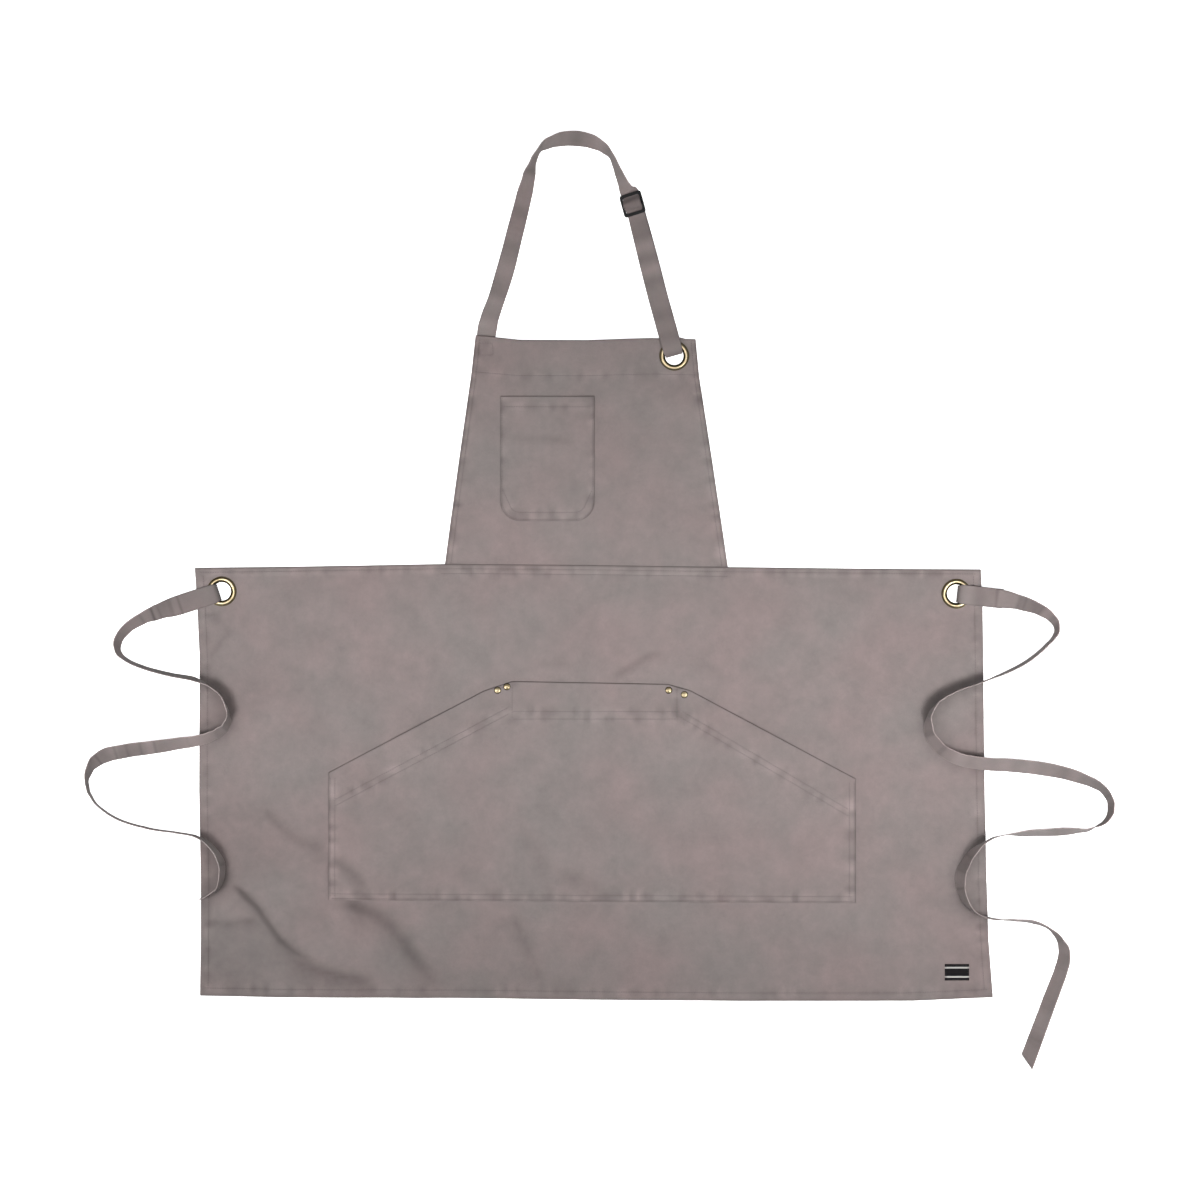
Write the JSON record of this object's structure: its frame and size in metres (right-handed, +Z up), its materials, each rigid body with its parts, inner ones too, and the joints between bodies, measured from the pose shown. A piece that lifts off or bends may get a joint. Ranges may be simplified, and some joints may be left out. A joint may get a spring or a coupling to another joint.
{
  "type": "bib apron",
  "caption": "Cotton canvas bib apron laid out flat, with patch pockets, an adjustable neck strap through an eyelet and slider, and waist ties through eyelets.",
  "frame": {"origin": "middle of the laid-out apron's outline, on the surface it lies on", "axes": "+Z up, out of the apron's front; +Y towards the neck; +X to the right of the front as it is seen from above"},
  "size_m": [1.3081, 1.1938, 0.028],
  "materials": {
    "canvas": "grey-brown cotton canvas, matt",
    "tape": "grey-brown cotton twill tape, matt",
    "brass": "pressed brass, softly polished",
    "black_plastic": "black moulded plastic",
    "label": "black woven label"
  },
  "bodies": {
    "root": {"skirt_panel": "canvas", "bib_panel": "canvas", "front_pocket": "canvas", "chest_pocket": "canvas", "neck_strap": "tape", "waist_tie_left": "tape", "waist_tie_right": "tape", "neck_eyelet": "brass", "waist_eyelet_left": "brass", "waist_eyelet_right": "brass", "pocket_rivet_left_outer": "brass", "pocket_rivet_left_inner": "brass", "pocket_rivet_right_inner": "brass", "pocket_rivet_right_outer": "brass", "strap_slider": "black_plastic", "woven_label": "label"}
  },
  "joints": []
}
